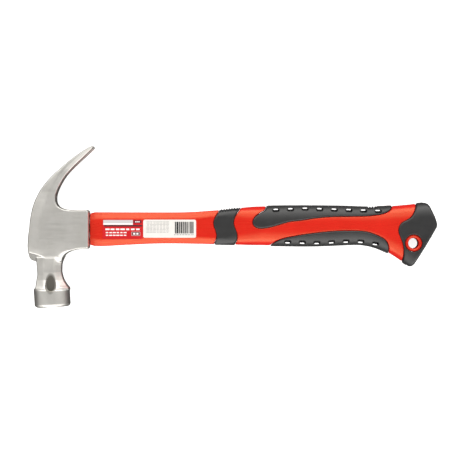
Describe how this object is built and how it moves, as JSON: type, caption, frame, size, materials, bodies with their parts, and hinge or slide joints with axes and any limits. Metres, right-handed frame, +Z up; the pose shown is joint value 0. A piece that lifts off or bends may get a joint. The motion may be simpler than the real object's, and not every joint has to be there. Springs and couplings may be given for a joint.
{
  "type": "claw hammer",
  "caption": "Claw hammer with a forged steel head, curved nail-pulling claws and a glass-fibre handle with a red plastic jacket, black rubber grips and a hang hole.",
  "frame": {"origin": "middle of the bounding box in X and Y, on the surface the hammer lies on, on its side", "axes": "+X along the handle from the head to the butt, +Y from the striking face to the claws, +Z up through the thickness"},
  "size_m": [0.3298, 0.1306, 0.0292],
  "materials": {
    "forged_steel": "satin ground",
    "glass_fibre": "sawn end",
    "epoxy_resin": "cast",
    "red_plastic": "semi-gloss moulded",
    "black_rubber": "satin moulded",
    "red_label": "printed, satin film",
    "white_label": "printed, satin film"
  },
  "bodies": {
    "root": {"hammer_head": "forged_steel", "fibreglass_core": "glass_fibre", "eye_epoxy": "epoxy_resin", "handle_jacket": "red_plastic", "thumb_band": "black_rubber", "back_grip": "black_rubber", "belly_grip": "black_rubber", "butt_cap": "black_rubber", "front_label": "red_label", "code_label": "white_label"}
  },
  "joints": []
}
